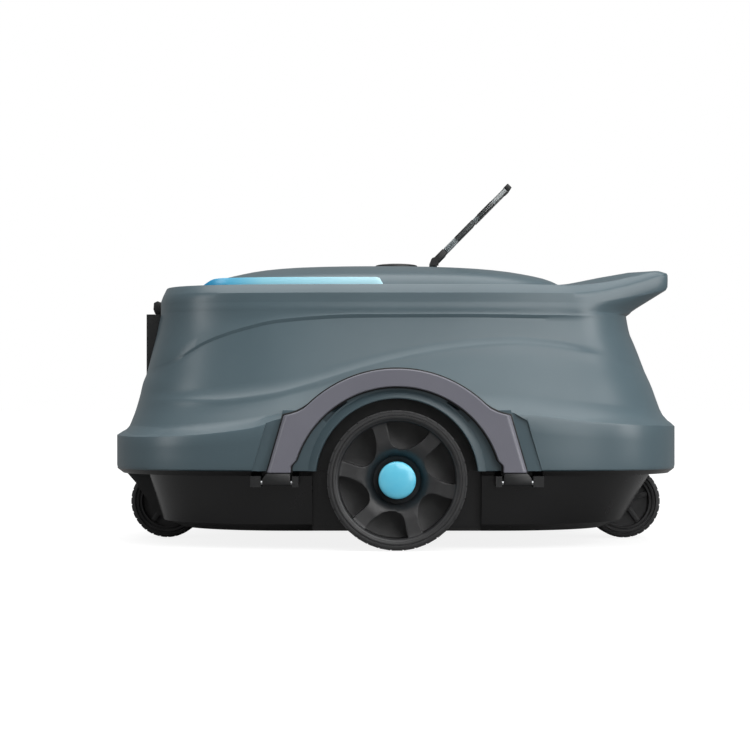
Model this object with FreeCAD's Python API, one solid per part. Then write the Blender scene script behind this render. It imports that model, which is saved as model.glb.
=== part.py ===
import FreeCAD, Part
import math
import os

# Cordless robotic pool cleaner. Millimetres, +Z up, front towards -X, left side towards -Y.
# The origin is on the floor under the middle of the machine.

# Driving dimensions
length = 419.0                # over the skirt
skirt_half = 167.0            # half width over the skirt
skirt_bottom = 55.0           # the cover stands on the hull flange here
wall = 3.0                    # moulded walls
axle_z = 49.0                 # main wheel radius and axle height
wheel_inner = 150.0           # inner and outer faces of a main wheel, from the middle
wheel_outer = 185.0
well_face = 146.3             # outer face of the hull wall behind a wheel
arch_radius = 57.0            # wheel arch opening
roller_x = 175.0              # end rollers, fore and aft of the middle
roller_radius = 28.0
hull_bottom = 12.0
rim_z = 189.0                 # top of the side wall
pin_radius = 1.5              # latch and fin hinge pins
fit = 0.05                    # running clearance of a pin, shaft or axle, on the radius

SIDES = (("left", -1), ("right", 1))

nodes = {}


def vec(x, y, z):
    return FreeCAD.Vector(x, y, z)


def box(x0, x1, y0, y1, z0, z1):
    return Part.makeBox(x1 - x0, y1 - y0, z1 - z0, vec(x0, y0, z0))


def cyl_x(y, z, radius, x0, x1):
    return Part.makeCylinder(radius, x1 - x0, vec(x0, y, z), vec(1, 0, 0))


def cyl_y(x, z, radius, y0, y1):
    low, high = min(y0, y1), max(y0, y1)
    return Part.makeCylinder(radius, high - low, vec(x, low, z), vec(0, 1, 0))


def cyl_z(x, y, radius, z0, z1):
    return Part.makeCylinder(radius, z1 - z0, vec(x, y, z0), vec(0, 0, 1))


def side_box(side, x0, x1, near, far, z0, z1):
    """A box between two distances from the middle plane, on one side."""
    low, high = min(side * near, side * far), max(side * near, side * far)
    return box(x0, x1, low, high, z0, z1)


def rounded(x0, x1, half, radius, z):
    """A horizontal rounded rectangle as a closed wire."""
    k = radius * (1 - math.sqrt(0.5))
    r = radius
    a, b, c, d = x0, x1, -half, half
    corners = (
        ((a, d - r), (a + k, d - k), (a + r, d)),
        ((b - r, d), (b - k, d - k), (b, d - r)),
        ((b, c + r), (b - k, c + k), (b - r, c)),
        ((a + r, c), (a + k, c + k), (a, c + r)),
    )
    edges = []
    for index, corner in enumerate(corners):
        first, middle, last = [vec(x, y, z) for x, y in corner]
        edges.append(Part.Arc(first, middle, last).toShape())
        following = corners[(index + 1) % 4][0]
        edges.append(Part.makeLine(last, vec(following[0], following[1], z)))
    return Part.Wire(edges)


def loft(sections):
    """A solid through rounded rectangles given as (z, x0, x1, half, radius)."""
    wires = [rounded(x0, x1, half, radius, z) for z, x0, x1, half, radius in sections]
    return Part.makeLoft(wires, True, True)


def shrunk(sections, by, lift=0.0):
    """The same sections, moved inwards by a wall thickness and up by lift."""
    return [(z + lift, x0 + by, x1 - by, half - by, radius - by) for z, x0, x1, half, radius in sections]


def plate(points, y0, y1):
    """A plate in the XZ plane. A point given as ("arc", middle, end) bends the edge to end."""
    edges = []
    last = vec(points[0][0], y0, points[0][1])
    for point in list(points[1:]) + [points[0]]:
        if point[0] == "arc":
            middle = vec(point[1][0], y0, point[1][1])
            end = vec(point[2][0], y0, point[2][1])
            edges.append(Part.Arc(last, middle, end).toShape())
        else:
            end = vec(point[0], y0, point[1])
            if last.distanceToPoint(end) > 0.001:
                edges.append(Part.makeLine(last, end))
        last = end
    return Part.Face(Part.Wire(edges)).extrude(vec(0, y1 - y0, 0))


def turned_y(shape, x, z, angle):
    turned = shape.copy()
    turned.rotate(vec(x, 0, z), vec(0, 1, 0), angle)
    return turned


def cut_all(shape, tools):
    for tool in tools:
        shape = shape.cut(tool)
    return shape


def fuse_all(shapes):
    return shapes[0].multiFuse(shapes[1:]).removeSplitter()


# Base hull: a tray with a flange under the cover, a spigot inside it, wheel wells and roller pockets
spigot_top = 66.0
flange_bottom = 51.5
hull_sections = [
    (hull_bottom, -157, 153.5, 147, 82),
    (17, -173, 168, 155, 92),
    (flange_bottom, -184, 189.5, 160, 98),
]
flange_sections = [(flange_bottom, -203.5, 203.5, 161, 104), (skirt_bottom, -208, 208, 165.5, 108)]
spigot_sections = [(skirt_bottom, -202.5, 202.5, 160, 103), (spigot_top, -202.5, 202.5, 160, 103)]
well_half = 60.0              # half length of a wheel well
pocket_end = 142.0            # inner end of a roller pocket
pocket_half = 21.0
pocket_top = 58.0

hull_inside = [
    (hull_bottom + wall, -154, 150.5, 144, 80),
    (20, -170, 165, 152, 90),
    (flange_bottom, -181, 186.5, 157, 95),
    (spigot_top + 1, -199.5, 199.5, 157, 100),
]


def recesses(grow):
    """The wheel wells and roller pockets of the hull, grown by a wall on the inside."""
    found = []
    for _, side in SIDES:
        reach = well_half + grow
        found.append(side_box(side, -reach, reach, well_face - grow, 200, 0, 80))
        low, high = min(side * (pocket_end - grow), side * 220), max(side * (pocket_end - grow), side * 220)
        found.append(box(low, high, -pocket_half - grow, pocket_half + grow, 0, pocket_top + grow))
    return found


inlet_x = -102.0              # middle of the suction inlet
inlet_half_x = 11.0
inlet_half_y = 70.0
socket_y, socket_z, socket_radius = 60.0, 36.0, 8.0
bush_radius = 9.0

hull = fuse_all([loft(hull_sections), loft(flange_sections), loft(spigot_sections)])
hull = cut_all(hull, recesses(0))
hull = hull.cut(cut_all(loft(hull_inside), recesses(wall)))
hull = hull.cut(box(inlet_x - inlet_half_x, inlet_x + inlet_half_x, -inlet_half_y, inlet_half_y, 0, 19))
hull = hull.cut(cyl_x(socket_y, socket_z, socket_radius, 163, 195))
screw_head, screw_shank = 3.5, 1.5
screws = []
for _, side in SIDES:
    hull = hull.cut(cyl_y(0, axle_z, bush_radius, side * 135, side * 150))
    for x in (-40, 40):
        for y in (side * 108, side * 134):
            head = cyl_z(x, y, screw_head, hull_bottom, hull_bottom + 1.5)
            screws.append(head.fuse(cyl_z(x, y, screw_shank, hull_bottom + 1, hull_bottom + 5.5)).removeSplitter())
hull = cut_all(hull, screws)
nodes["base_hull"] = hull
nodes["housing_screws"] = Part.makeCompound(screws)

# Latch hinge ears hang from the flange; each latch foot turns between two ears
hinge_y = 171.3
hinge_z = 47.0
ear_spans = ((95.6, 103.0), (69.2, 73.6))
ear_bottom = 44.0
latch_pin_length = 33.8
ears, pins = [], []
for _, side in SIDES:
    for near, far in ear_spans:
        for way in (-1, 1):
            low, high = min(way * near, way * far), max(way * near, way * far)
            ear = side_box(side, low, high, 158, 174, ear_bottom, flange_bottom)
            ears.append(cut_all(ear, [hull, cyl_x(side * hinge_y, hinge_z, pin_radius, low - 1, high + 1)]))
    for low in (-103.0, 69.2):
        pins.append(cyl_x(side * hinge_y, hinge_z, pin_radius, low, low + latch_pin_length))
nodes["latch_ears"] = Part.makeCompound(ears)
nodes["latch_pins"] = Part.makeCompound(pins)

# Gasket strips round the spigot, fore and aft of the wheel wells
gasket = loft([(58, -205, 205, 162.5, 105.5), (63, -205, 205, 162.5, 105.5)])
gasket = gasket.cut(loft([(57, -202.5, 202.5, 160, 103), (64, -202.5, 202.5, 160, 103)]))
for _, side in SIDES:
    gasket = gasket.cut(side_box(side, -well_half, well_half, 140, 200, 50, 80))
nodes["cover_gasket"] = gasket

# Cover shell: sloping side wall, rim, top deck and the raised fenders that carry the latches
shell_sections = [
    (skirt_bottom, -length / 2, length / 2, skirt_half, 110),
    (82, -length / 2, length / 2, skirt_half, 110),
    (88, -200.7, 202.7, 158, 104),
    (100, -195.8, 197.3, 152, 100),
    (125, -188, 189, 144, 94),
    (155, -180.8, 177.4, 133.5, 88),
    (167, -178, 174.9, 130, 85),
    (179, -177.8, 171.6, 128, 84),
    (rim_z, -173.6, 163.8, 125, 82),
]
deck_under = rim_z - wall
shell_inside = shrunk(shell_sections, wall)
shell_inside[0] = (skirt_bottom - 1,) + shell_inside[0][1:]
shell_inside[-1] = (deck_under, -171.6, 163.8, 122.5, 80)
deck_hole = (-138.0, 118.0, 92.0, 70.0)      # x0, x1, half width, corner radius

latch_crest = 127.0
latch_shoulder = 98.5
boss_outer = 165.5            # face of the fender boss behind the latch
ring_outer = 167.8            # front of the arch ring
liner_radius = 59.5
ring_radius = 63.5
nozzle_half, nozzle_low, nozzle_high = 46.0, 125.0, 170.0

boss_points = [
    (-90.5, skirt_bottom), (-79, 96.5), (-66, 96.5), ("arc", (0, latch_crest - 1.5), (66, 96.5)),
    (79, 96.5), (90.5, skirt_bottom),
]
finger_outer, finger_inner = 72.0, 64.5


def finger_slots(side):
    """The two recesses beside the arch ring, where a finger reaches under the latch."""
    tube = cyl_y(0, axle_z, finger_outer, side * 156, side * 170)
    tube = tube.cut(cyl_y(0, axle_z, finger_inner, side * 155, side * 171))
    slots = []
    for lean in (-48, 48):
        wedge = turned_y(side_box(side, -13, 13, 155, 171, axle_z + 50, axle_z + 80), 0, axle_z, lean)
        slots.append(tube.common(wedge))
    return slots


shell_solid = loft(shell_sections)
outer = shell_solid
for _, side in SIDES:
    low, high = min(side * 120, side * boss_outer), max(side * 120, side * boss_outer)
    outer = outer.fuse(plate(boss_points, low, high))
shell = outer.cut(loft(shell_inside))
for _, side in SIDES:
    shell = shell.cut(cyl_y(0, axle_z, liner_radius, side * 110, side * 200))
    shell = shell.cut(cyl_y(0, axle_z, ring_radius, side * boss_outer, side * 200))
    shell = cut_all(shell, finger_slots(side))
x0, x1, half, radius = deck_hole
shell = shell.cut(loft([(deck_under - 1, x0, x1, half, radius), (rim_z + 1, x0, x1, half, radius)]))
shell = shell.cut(box(-205, -167, -nozzle_half, nozzle_half, nozzle_low, nozzle_high))
nodes["cover_shell"] = shell

# Arch liner: the tube behind the shell round each wheel, with the ring that stands out in front
for name, side in SIDES:
    tube = cyl_y(0, axle_z, liner_radius, side * 149, side * boss_outer)
    ring = cyl_y(0, axle_z, ring_radius, side * boss_outer, side * ring_outer)
    liner = tube.fuse(ring).cut(cyl_y(0, axle_z, arch_radius, side * 140, side * 180))
    nodes["arch_liner_" + name] = liner.cut(side_box(side, -80, 80, 140, 180, -20, skirt_bottom))

# Rear handle: a wing that flows out of the rim, with a hand opening behind the wall
handle_points = [
    (128, rim_z), (150, 192.6), ("arc", (172, 198), (191, 201.6)), (200.6, 201.4), (203.4, 199),
    (203.8, 190.5), (201, 187), (187, 178), (178.5, 172), (175.3, 169), (148, 169), (128, 184),
]
handle_plan = [(120, 116), (161, 108), (185, 92), (200, 70), (205.5, 52)]
handle = plate(handle_points, -130, 130)
outline = [vec(x, y, 150) for x, y in handle_plan] + [vec(x, -y, 150) for x, y in reversed(handle_plan)]
outline_face = Part.Face(Part.makePolygon(outline + [outline[0]]))
handle = handle.common(outline_face.extrude(vec(0, 0, 80)))
grip_x, grip_half, grip_radius = (174.0, 190.5), 56.0, 8.0
handle = handle.cut(loft([(160, grip_x[0], grip_x[1], grip_half, grip_radius),
                          (220, grip_x[0], grip_x[1], grip_half, grip_radius)]))
handle = handle.cut(shell_solid)
handle = handle.cut(box(100, 170, -100, 100, rim_z - 3, 230).common(box(100, 134, -130, 130, 180, 230)))
nodes["rear_handle"] = max(handle.Solids, key=lambda solid: solid.Volume)

# Dome lid over the deck opening, with the button well and the fin hinge
lid_sections = [
    (rim_z, -150, 128, 106, 82),
    (193, -146, 126, 103.5, 80),
    (198.4, -129, 119, 96, 74),
    (204.6, -102, 90, 73, 57),
    (207.3, -82, 60, 50, 42),
    (208.6, -46, 24, 24, 20),
]
lid_inside = [
    (rim_z - 1, -147, 125, 103, 80),
    (190.5, -143, 123, 100.5, 77),
    (195.8, -126, 116, 93, 71),
    (201.8, -99, 87, 70, 55),
    (204.4, -79, 57, 47, 39),
    (205.6, -43, 21, 21, 17),
]
button_x = 1.0
button_radius = 16.5
fin_root = (30.0, 211.4)      # fin hinge axis, x and z
lid = loft(lid_sections).cut(loft(lid_inside))
lid = lid.cut(cyl_z(button_x, 0, button_radius + 1.5, 198, 215))
nodes["dome_lid"] = lid.cut(nodes["rear_handle"])

# Power button in its rubber boot, held by a cup under the lid
button_travel = 1.5
nodes["power_button"] = fuse_all([
    cyl_z(button_x, 0, button_radius, 203.5, 209.7),
    Part.makeCone(button_radius, 12.5, 1.0, vec(button_x, 0, 209.7)),
])
boot = cyl_z(button_x, 0, button_radius + 1.5, 199.5, 208.2).cut(cyl_z(button_x, 0, button_radius + 0.2, 201.5, 212))
nodes["button_boot"] = boot

# Light blue strips between the lid and the rim
strip_profile = [(-141, rim_z), (-131.2, 194.8), (-13, 194.8), ("arc", (-9.6, 192.2), (-13, rim_z))]
lid_block = loft([(rim_z - 1, -150.3, 128.3, 106.3, 82.2), (rim_z + 8, -150.3, 128.3, 106.3, 82.2)])
strip_plan = loft([(rim_z - 1, -156, 134, 112, 88), (rim_z + 8, -156, 134, 112, 88)])
strips = []
for _, side in SIDES:
    low, high = min(side * 40, side * 118), max(side * 40, side * 118)
    strips.append(cut_all(plate(strip_profile, low, high).common(strip_plan), [lid_block, shell]))
nodes["accent_strips"] = Part.makeCompound(strips)

# Front outlet nozzle: frame, grille bars, and the duct from the pump
nozzle_front = -187.8
nozzle_back = -172.6
frame_outer = box(nozzle_front, nozzle_back, -nozzle_half, nozzle_half, nozzle_low, nozzle_high)
frame_inner = box(-195, -165, -nozzle_half + wall, nozzle_half - wall, nozzle_low + wall, nozzle_high - wall)
nodes["nozzle_frame"] = frame_outer.cut(frame_inner)
bar_count = 14
bar_width = 2.4
bar_pitch = 2 * (nozzle_half - wall) / (bar_count + 1)
bars = [box(-185.2, -182.2, -nozzle_half + wall, nozzle_half - wall, 146, 149)]
for index in range(bar_count):
    y = -nozzle_half + wall + bar_pitch * (index + 1)
    bars.append(box(-186.8, -180.6, y - bar_width / 2, y + bar_width / 2, nozzle_low + wall, nozzle_high - wall))
nodes["nozzle_grille"] = fuse_all(bars)
duct_end = 44.0
duct = box(nozzle_back, duct_end, -nozzle_half, nozzle_half, nozzle_low, nozzle_high)
duct = duct.cut(box(nozzle_back - 1, duct_end - wall, -nozzle_half + wall, nozzle_half - wall,
                    nozzle_low + wall, nozzle_high - wall))
duct = duct.cut(cyl_z(0, 0, 36, nozzle_low - 1, nozzle_low + wall + 1))
nodes["outlet_duct"] = duct

# Clear fin on its hinge, leaning aft on its stop
fin_lean = 45.3
fin_length = 82.0
fin_thick = 4.6
fin_knuckle = 2.6
fin_half = 21.0
fin_sleeve = 17.0
pin_reach = 24.0              # the pin ends inside its ears


def on_fin(shape):
    """Stand a shape drawn along +X from the hinge up at the fin's lean."""
    return turned_y(shape, fin_root[0], fin_root[1], -fin_lean)


fx, fz = fin_root
sleeve = box(fx, fx + fin_sleeve, -fin_half, fin_half, fz - fin_knuckle, fz + fin_knuckle)
sleeve = sleeve.fuse(cyl_y(fx, fz, fin_knuckle, -fin_half, fin_half))
sleeve = sleeve.cut(box(fx + 6, fx + fin_sleeve + 1, -fin_half - 1, fin_half + 1, fz - 1.6, fz + 1.6))
blade = box(fx + 6, fx + fin_length - 5, -fin_half, fin_half, fz - 1.6, fz + 1.6)
tip = box(fx + fin_length - 9, fx + fin_length, -fin_half, fin_half, fz - fin_thick / 2, fz + fin_thick / 2)
tip = tip.cut(box(fx + fin_length - 10, fx + fin_length - 5, -fin_half - 1, fin_half + 1, fz - 1.6, fz + 1.6))
pin_hole = cyl_y(fx, fz, pin_radius + fit, -40, 40)
nodes["fin_sleeve"] = on_fin(sleeve).cut(pin_hole)
nodes["fin_blade"] = on_fin(blade)
nodes["fin_tip"] = on_fin(tip)
ears = []
for _, side in SIDES:
    ear = side_box(side, fx - 3, fx + 3, fin_half + 0.4, fin_half + 4, 204, fz)
    ear = ear.fuse(cyl_y(fx, fz, 3, side * (fin_half + 0.4), side * (fin_half + 4)))
    ears.append(ear.cut(cyl_y(fx, fz, pin_radius, -pin_reach, pin_reach)).cut(loft(lid_sections)))
nodes["fin_bracket"] = Part.makeCompound(ears)
nodes["fin_pin"] = cyl_y(fx, fz, pin_radius, -pin_reach, pin_reach)

# Side latches: an arch over the wheel whose two feet turn on the hull
latch_inner = 168.3
latch_thick = 6.0
latch_points = [
    (0, latch_crest), ("arc", (34, 120.3), (66, latch_shoulder)), (78.5, latch_shoulder), (80.5, 94),
    (91.4, 54.4), (94.6, 50), (94.6, 45.2), (74.6, 45.2), (74.6, 58.7), (71, 62.5),
    ("arc", (0, 114.5), (-71, 62.5)), (-74.6, 58.7), (-74.6, 45.2), (-94.6, 45.2), (-94.6, 50),
    (-91.4, 54.4), (-80.5, 94), (-78.5, latch_shoulder), (-66, latch_shoulder),
    ("arc", (-34, 120.3), (0, latch_crest)),
]
for name, side in SIDES:
    near, far = side * latch_inner, side * (latch_inner + latch_thick)
    latch = plate(latch_points, min(near, far), max(near, far))
    nodes["latch_" + name] = latch.cut(cyl_x(side * hinge_y, hinge_z, pin_radius + fit, -120, 120))

# Main wheels: moulded wheel with curved spokes, rubber tyre, cap, axle, bush
hub_radius = 17.0
rim_inner = 41.0
rim_outer = 45.5
spoke_count = 6
axle_radius = 5.0


def spoke():
    """One curved spoke of a main wheel, between hub and rim, about the origin in XZ."""
    return [
        (hub_radius - 1, -5), ("arc", (30, -11), (rim_inner + 1, -5)), (rim_inner + 1, 5),
        ("arc", (30, -1), (hub_radius - 1, 6)),
    ]


bushes = []
panels = []
for name, side in SIDES:
    rim = cyl_y(0, 0, rim_outer, side * wheel_inner, side * 183).cut(
        cyl_y(0, 0, rim_inner, side * (wheel_inner - 1), side * 190))
    web = cyl_y(0, 0, rim_inner + 1, side * 158, side * 162).cut(
        cyl_y(0, 0, hub_radius, side * 157, side * 163))
    wheel = rim.fuse(web).removeSplitter()
    wheel.translate(vec(0, 0, axle_z))
    nodes["wheel_" + name] = wheel
    low, high = min(side * 162, side * 181), max(side * 162, side * 181)
    hub = [cyl_y(0, 0, hub_radius, side * wheel_inner, side * 183)]
    for index in range(spoke_count):
        hub.append(turned_y(plate(spoke(), low, high), 0, 0, index * 360.0 / spoke_count))
    spokes = fuse_all(hub).cut(rim)
    spokes.translate(vec(0, 0, axle_z))
    nodes["wheel_spokes_" + name] = spokes.cut(cyl_y(0, axle_z, axle_radius, side * 140, side * 178))
    tyre = cyl_y(0, axle_z, axle_z, side * wheel_inner, side * wheel_outer)
    tyre = tyre.cut(cyl_y(0, axle_z, rim_outer, side * 140, side * 190))
    nodes["tyre_" + name] = tyre
    cap = Part.makeCone(13, 8, 2.0, vec(0, side * 183, axle_z), vec(0, side, 0))
    nodes["hub_cap_" + name] = cap
    nodes["axle_" + name] = cyl_y(0, axle_z, axle_radius, side * 112, side * 178)
    bush = cyl_y(0, axle_z, bush_radius, side * 140.3, side * (well_face + 2))
    bushes.append(bush.cut(cyl_y(0, axle_z, axle_radius + fit, side * 130, side * 160)))
    plate_x = 56
    panel = side_box(side, -plate_x, plate_x, well_face, well_face + 2, 15.6, 98)
    panels.append(panel.cut(cyl_y(0, axle_z, bush_radius, side * 140, side * 160)))

nodes["wheel_bushes"] = Part.makeCompound(bushes)
nodes["well_panels"] = Part.makeCompound(panels)

# Geared wheel drives inside sealed housings
gear_tip, gear_teeth = 30.0, 40
pinion_tip, pinion_teeth = 7.5, 10
gear_gap = gear_tip + pinion_tip + 0.3
pinion_x = gear_gap * math.sqrt(0.5)
pinion_z = axle_z + pinion_x
tooth_height = 1.2


def gear(tip, teeth, x, z, y0, y1):
    """A spur gear with square-cut teeth."""
    points = []
    step = 2 * math.pi / teeth
    for index in range(teeth):
        for part, radius in ((0.0, tip), (0.4, tip), (0.5, tip - tooth_height), (0.9, tip - tooth_height)):
            angle = (index + part) * step
            points.append((x + radius * math.cos(angle), z + radius * math.sin(angle)))
    return plate(points, min(y0, y1), max(y0, y1))


motors = []
for name, side in SIDES:
    housing = side_box(side, -52, 52, 100, well_face - wall, hull_bottom + wall, 96)
    housing = housing.cut(side_box(side, -49, 49, 103, 140.3, hull_bottom + 2 * wall, 93))
    housing = cut_all(housing, screws)
    nodes["drive_housing_" + name] = housing.cut(cyl_y(0, axle_z, bush_radius, side * 138, side * 150))
    big = gear(gear_tip, gear_teeth, 0, axle_z, side * 128, side * 135)
    nodes["wheel_gear_" + name] = big.cut(cyl_y(0, axle_z, axle_radius, side * 120, side * 140))
    shaft = cyl_y(pinion_x, pinion_z, 2, side * 121, side * 136.5)
    small = gear(pinion_tip, pinion_teeth, pinion_x, pinion_z, side * 127.5, side * 135.5)
    nodes["drive_pinion_" + name] = small.fuse(shaft).removeSplitter()
    motor = cyl_y(pinion_x, pinion_z, 13, side * 103, side * 125)
    motors.append(motor.cut(cyl_y(pinion_x, pinion_z, 2 + fit, side * 120, side * 130)))

nodes["drive_motors"] = Part.makeCompound(motors)

# End rollers: one in a fork at the front, a pair on a strut at the rear
roller_z = roller_radius
roller_bore = 3.0


def roller(x, y0, y1):
    """An open roller: ring, hub and five spokes, about the roller axis."""
    ring = cyl_y(x, roller_z, roller_radius, y0, y1).cut(cyl_y(x, roller_z, 19, y0 - 1, y1 + 1))
    pieces = [ring, cyl_y(x, roller_z, 6, y0, y1)]
    for index in range(5):
        arm = box(x + 4, x + 20, y0 + 2, y1 - 2, roller_z - 1.5, roller_z + 1.5)
        pieces.append(turned_y(arm, x, roller_z, index * 72.0 + 36))
    return fuse_all(pieces).cut(cyl_y(x, roller_z, roller_bore + fit, y0 - 1, y1 + 1))


fork_points = [
    (-200, pocket_top), (-197, 39), (-186.5, 24.5), ("arc", (-173.0, 16.2), (-163.2, 26.0)),
    (-161, 38), (-pocket_end, 38), (-pocket_end, pocket_top),
]
fork = [plate(fork_points, -17.5, -14), plate(fork_points, 14, 17.5), box(-147, -pocket_end, -14, 14, 40, pocket_top)]
nodes["front_fork"] = fuse_all(fork).cut(cyl_y(-roller_x, roller_z, roller_bore, -30, 30))
nodes["front_roller"] = roller(-roller_x, -13, 13)
strut_points = [
    (150, pocket_top), (166, 28), ("arc", (175, 19), (184, 28)), (181, 36), (172, pocket_top),
]
nodes["rear_strut"] = plate(strut_points, -4, 4).cut(cyl_y(roller_x, roller_z, roller_bore, -30, 30))
nodes["rear_rollers"] = Part.makeCompound([roller(roller_x, -18, -4.5), roller(roller_x, 4.5, 18)])
nodes["roller_pins"] = Part.makeCompound([cyl_y(x, roller_z, roller_bore, -19, 19) for x in (-roller_x, roller_x)])

# Suction inlet with its non-return flap
frame = box(inlet_x - inlet_half_x, inlet_x + inlet_half_x, -inlet_half_y, inlet_half_y, hull_bottom - 1, 19)
mouth = box(inlet_x - 8.5, inlet_x + 8.5, -67, 67, 0, 30)
nodes["inlet_frame"] = frame.cut(mouth)
flap_hinge_x, flap_hinge_z = inlet_x + inlet_half_x + 1.2, 20.6
flap = box(inlet_x - 10, inlet_x + inlet_half_x - 1, -68, 68, 19.4, 20.9)
flap = flap.fuse(box(inlet_x + inlet_half_x - 1.5, flap_hinge_x, -68, 68, 19.6, 20.9))
nodes["inlet_flap"] = flap.fuse(cyl_y(flap_hinge_x, flap_hinge_z, 1.2, -68, 68)).removeSplitter()

# Filter basket over the inlet: frame with windows, and the mesh inside it
basket = (-137.6, -64.0, 96.0, 24.0, 98.0)       # x0, x1, half width, bottom, top
bx0, bx1, bhalf, bz0, bz1 = basket
basket_wall = 2.5
frame = box(bx0, bx1, -bhalf, bhalf, bz0, bz1)
frame = frame.cut(box(bx0 + basket_wall, bx1 - basket_wall, -bhalf + basket_wall, bhalf - basket_wall,
                      bz0 + basket_wall, bz1 + 1))
frame = frame.cut(box(inlet_x - 15, inlet_x + 18, -74, 74, bz0 - 1, bz0 + basket_wall + 1))
window_count = 5
window_pitch = 2 * bhalf / window_count
for index in range(window_count):
    y = -bhalf + window_pitch * (index + 0.5)
    frame = frame.cut(box(bx0 - 1, bx1 + 1, y - 15, y + 15, bz0 + 9, bz1 - 9))
rails = [side_box(side, bx0 + 4, bx1 - 4, 84, 88, hull_bottom + wall + 0.3, bz0) for _, side in SIDES]
nodes["filter_basket"] = fuse_all([frame] + rails)
liner = box(bx0 + 2.8, bx1 - 2.8, -bhalf + 2.8, bhalf - 2.8, bz0 + 2.8, bz1 - 1)
liner = liner.cut(box(bx0 + 3.8, bx1 - 3.8, -bhalf + 3.8, bhalf - 3.8, bz0, bz1 + 1))
nodes["filter_mesh"] = liner

# Pump: motor on the hull floor, axial impeller in its tube under the duct
motor_top = 86.0
shaft_radius = 4.0
motor = cyl_z(0, 0, 22, hull_bottom + wall, motor_top)
nodes["pump_motor"] = motor.cut(cyl_z(0, 0, shaft_radius + fit, 70, 90))
seal = cyl_z(0, 0, 10, motor_top, motor_top + 3)
nodes["shaft_seal"] = seal.cut(cyl_z(0, 0, shaft_radius + fit, 80, 95))
blade_count = 6
pieces = [cyl_z(0, 0, 9, 94, 112), cyl_z(0, 0, shaft_radius, 72, 100)]
for index in range(blade_count):
    vane = box(6, 33, -1, 1, 96, 110)
    vane.rotate(vec(20, 0, 103), vec(1, 0, 0), 35)
    vane.rotate(vec(0, 0, 0), vec(0, 0, 1), index * 360.0 / blade_count)
    pieces.append(vane)
nodes["impeller"] = fuse_all(pieces)
tube_top = nozzle_low - 0.3
tube = [cyl_z(0, 0, 38, 92, tube_top).cut(cyl_z(0, 0, 35, 90, tube_top + 1))]
for index in range(3):
    leg = box(34.5, 41, -4, 4, hull_bottom + wall, 94)
    leg.rotate(vec(0, 0, 0), vec(0, 0, 1), index * 120.0 + 60)
    tube.append(leg)
nodes["pump_tube"] = fuse_all(tube)

# Battery, control box and board behind the pump
pack = box(66, 134, -86, 86, hull_bottom + wall, 63)
nodes["battery_pack"] = pack.makeFillet(4, pack.Edges)
nodes["control_box"] = box(66, 134, -60, 60, 63, 93).cut(box(68.5, 131.5, -57.5, 57.5, 65.5, 90.5))
nodes["control_board"] = box(74, 126, -50, 50, 73, 74.6)

# Charging socket in the rear wall of the hull, with its rubber plug
socket = cyl_x(socket_y, socket_z, socket_radius, 166.7, 184.7)
nodes["charge_socket"] = socket.cut(cyl_x(socket_y, socket_z, 5.2, 172.7, 190))
plug = cyl_x(socket_y, socket_z, 5.0, 173, 185).fuse(cyl_x(socket_y, socket_z, 7.5, 185, 187))
nodes["charge_plug"] = plug.removeSplitter()

os.makedirs("parts", exist_ok=True)
for name, shape in nodes.items():
    shape.exportStep("parts/" + name + ".step")
    print(name, len(shape.Solids), round(shape.Volume / 1000.0, 2), shape.isValid())
print(len(nodes), "nodes")
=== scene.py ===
import math

import bpy
import numpy as np
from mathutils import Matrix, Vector


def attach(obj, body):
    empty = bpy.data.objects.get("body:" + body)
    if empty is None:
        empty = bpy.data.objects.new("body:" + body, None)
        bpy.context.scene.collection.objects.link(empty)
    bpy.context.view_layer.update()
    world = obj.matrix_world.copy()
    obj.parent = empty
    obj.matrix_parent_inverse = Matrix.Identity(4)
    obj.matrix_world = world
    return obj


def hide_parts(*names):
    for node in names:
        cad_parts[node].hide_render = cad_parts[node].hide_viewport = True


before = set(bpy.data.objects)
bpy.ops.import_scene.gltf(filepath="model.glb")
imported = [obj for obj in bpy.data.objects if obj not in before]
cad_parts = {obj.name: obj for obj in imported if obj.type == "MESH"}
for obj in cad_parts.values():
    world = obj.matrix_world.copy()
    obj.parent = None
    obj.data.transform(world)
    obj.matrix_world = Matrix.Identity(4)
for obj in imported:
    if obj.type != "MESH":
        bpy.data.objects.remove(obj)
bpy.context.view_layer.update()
mm = 0.001
sides = (("left", -1), ("right", 1))
print("frame loaded")


def toLinear(hexText):
    # sRGB hex to the linear colour that a socket takes
    values = [int(hexText[i:i + 2], 16) / 255 for i in (1, 3, 5)]
    return tuple(v / 12.92 if v <= 0.04045 else ((v + 0.055) / 1.055) ** 2.4 for v in values) + (1.0,)


def addNode(tree, kind, settings=None, links=None):
    # settings: attribute or input name to value; links: input name to (node, output name)
    node = tree.nodes.new(kind)
    for key, value in (settings or {}).items():
        if isinstance(key, int) or key in node.inputs:
            node.inputs[key].default_value = value
        else:
            setattr(node, key, value)
    for key, (other, output) in (links or {}).items():
        tree.links.new(other.outputs[output], node.inputs[key])
    return node


def startMaterial(name):
    # a new material, its nodes, and the link that puts a pattern on Object coordinates
    made = bpy.data.materials.new(name)
    made.use_nodes = True
    tree = made.node_tree
    tree.nodes.clear()
    return made, tree, {"Vector": (addNode(tree, "ShaderNodeTexCoord"), "Object")}


def endMaterial(tree, shader):
    addNode(tree, "ShaderNodeOutputMaterial", links={"Surface": (shader, "BSDF")})


cloudSpan = (0.3, 0.7)     # where on the cloud pattern the dark and the light tone are reached


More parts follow.
